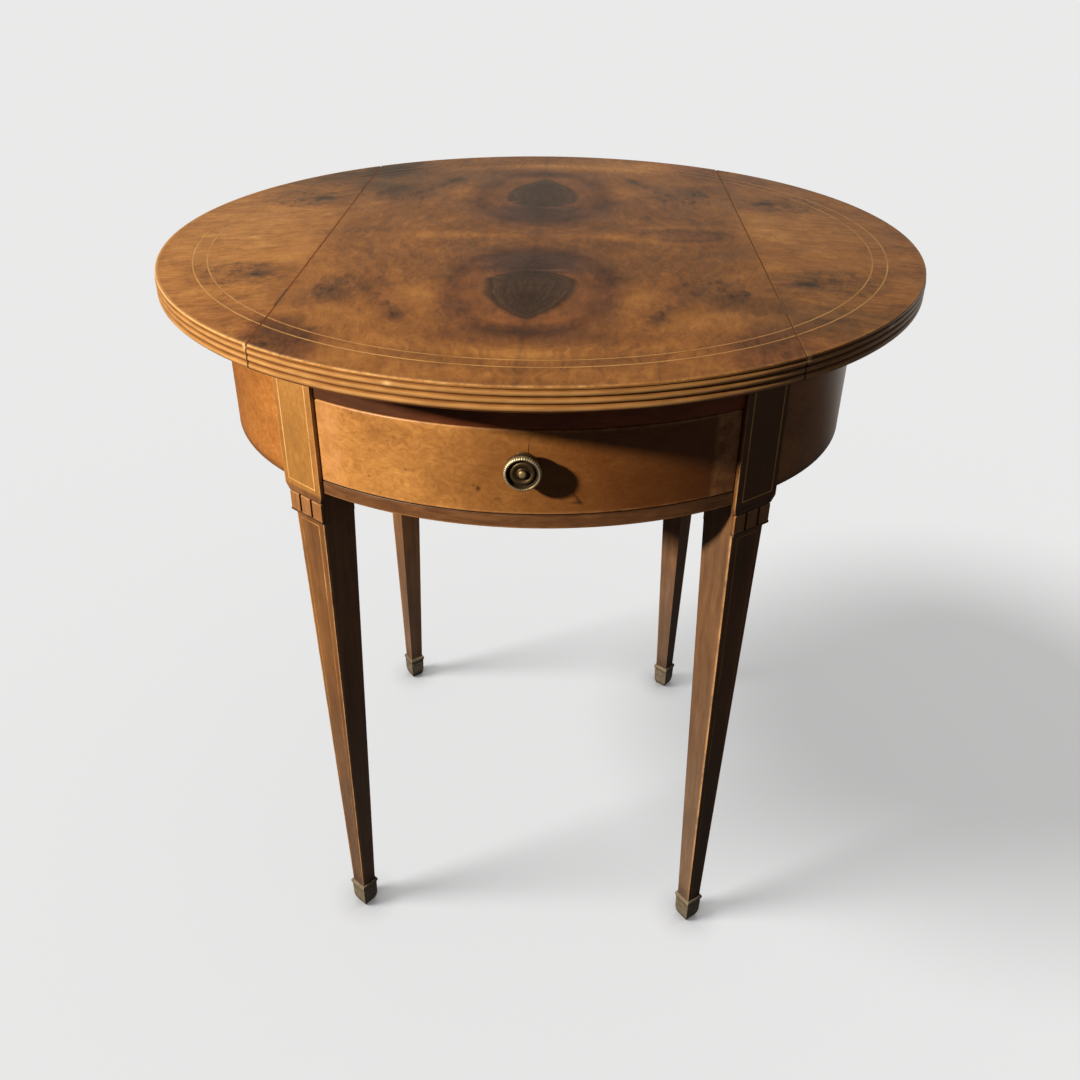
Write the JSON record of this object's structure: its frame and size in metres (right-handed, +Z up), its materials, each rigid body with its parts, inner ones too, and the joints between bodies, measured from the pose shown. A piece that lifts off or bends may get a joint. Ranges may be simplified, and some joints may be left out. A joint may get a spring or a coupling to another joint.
{
  "type": "side table",
  "caption": "Round walnut side table with reeded rim, bowed drawer with brass knob, lift-up side lids over wells, and square tapered legs in brass sabots.",
  "frame": {"origin": "on the floor under the middle of the round top", "axes": "+Z up, -Y towards the drawer, +X to the right of a person facing the drawer"},
  "size_m": [0.7234, 0.7234, 0.7321],
  "materials": {
    "top_veneer": "satin polished figured walnut veneer",
    "apron_veneer": "satin polished walnut veneer, worn",
    "leg_wood": "satin polished walnut, worn edges",
    "stringing": "pale boxwood inlay",
    "inner_wood": "unpolished oak",
    "aged_brass": "dark patina, worn on the high spots",
    "steel_screws": "dull"
  },
  "bodies": {
    "table_frame": {"apron_back": "apron_veneer", "apron_left": "apron_veneer", "apron_right": "apron_veneer", "centre_stringing": "stringing", "drawer_guide_left": "inner_wood", "drawer_guide_right": "inner_wood", "drawer_kicker_left": "inner_wood", "drawer_kicker_right": "inner_wood", "drawer_runner_left": "inner_wood", "drawer_runner_right": "inner_wood", "drawer_stops": "inner_wood", "front_rail_bottom": "apron_veneer", "front_rail_top": "apron_veneer", "glue_blocks": "inner_wood", "hinge_fixed_leaves_left": "aged_brass", "hinge_fixed_leaves_right": "aged_brass", "hinge_pins": "aged_brass", "hinge_screws_centre": "steel_screws", "leg_front_left": "leg_wood", "leg_front_right": "leg_wood", "leg_rear_left": "leg_wood", "leg_rear_right": "leg_wood", "leg_stringing_front_left": "stringing", "leg_stringing_front_right": "stringing", "leg_stringing_rear_left": "stringing", "leg_stringing_rear_right": "stringing", "neck_tablets_front_left": "leg_wood", "neck_tablets_front_right": "leg_wood", "neck_tablets_rear_left": "leg_wood", "neck_tablets_rear_right": "leg_wood", "partition_left": "inner_wood", "partition_right": "inner_wood", "sabot_front_left": "aged_brass", "sabot_front_right": "aged_brass", "sabot_pins": "aged_brass", "sabot_rear_left": "aged_brass", "sabot_rear_right": "aged_brass", "top_centre": "top_veneer", "top_screws": "steel_screws", "well_bottom_left": "inner_wood", "well_bottom_right": "inner_wood"},
    "drawer": {"drawer_front": "apron_veneer", "drawer_side_left": "inner_wood", "drawer_side_right": "inner_wood", "drawer_back": "inner_wood", "drawer_bottom": "inner_wood", "knob": "aged_brass", "knob_backplate": "aged_brass", "knob_bolt": "steel_screws", "knob_washer": "steel_screws", "knob_nut": "steel_screws"},
    "left_lid": {"lid_left": "top_veneer", "lid_stringing_left": "stringing", "hinge_lid_leaves_left": "aged_brass", "hinge_screws_lid_left": "steel_screws"},
    "right_lid": {"lid_right": "top_veneer", "lid_stringing_right": "stringing", "hinge_lid_leaves_right": "aged_brass", "hinge_screws_lid_right": "steel_screws"}
  },
  "joints": [
    {"name": "drawer_slide", "type": "slide", "parent": "table_frame", "child": "drawer", "axis": [0, -1, 0], "range_m": [0, 0.3]},
    {"name": "left_lid_hinge", "type": "hinge", "parent": "table_frame", "child": "left_lid", "pos_m": [-0.207, 0, 0.7308], "axis": [0, 1, 0], "range_deg": [0, 95]},
    {"name": "right_lid_hinge", "type": "hinge", "parent": "table_frame", "child": "right_lid", "pos_m": [0.207, 0, 0.7308], "axis": [0, -1, 0], "range_deg": [0, 95]}
  ]
}
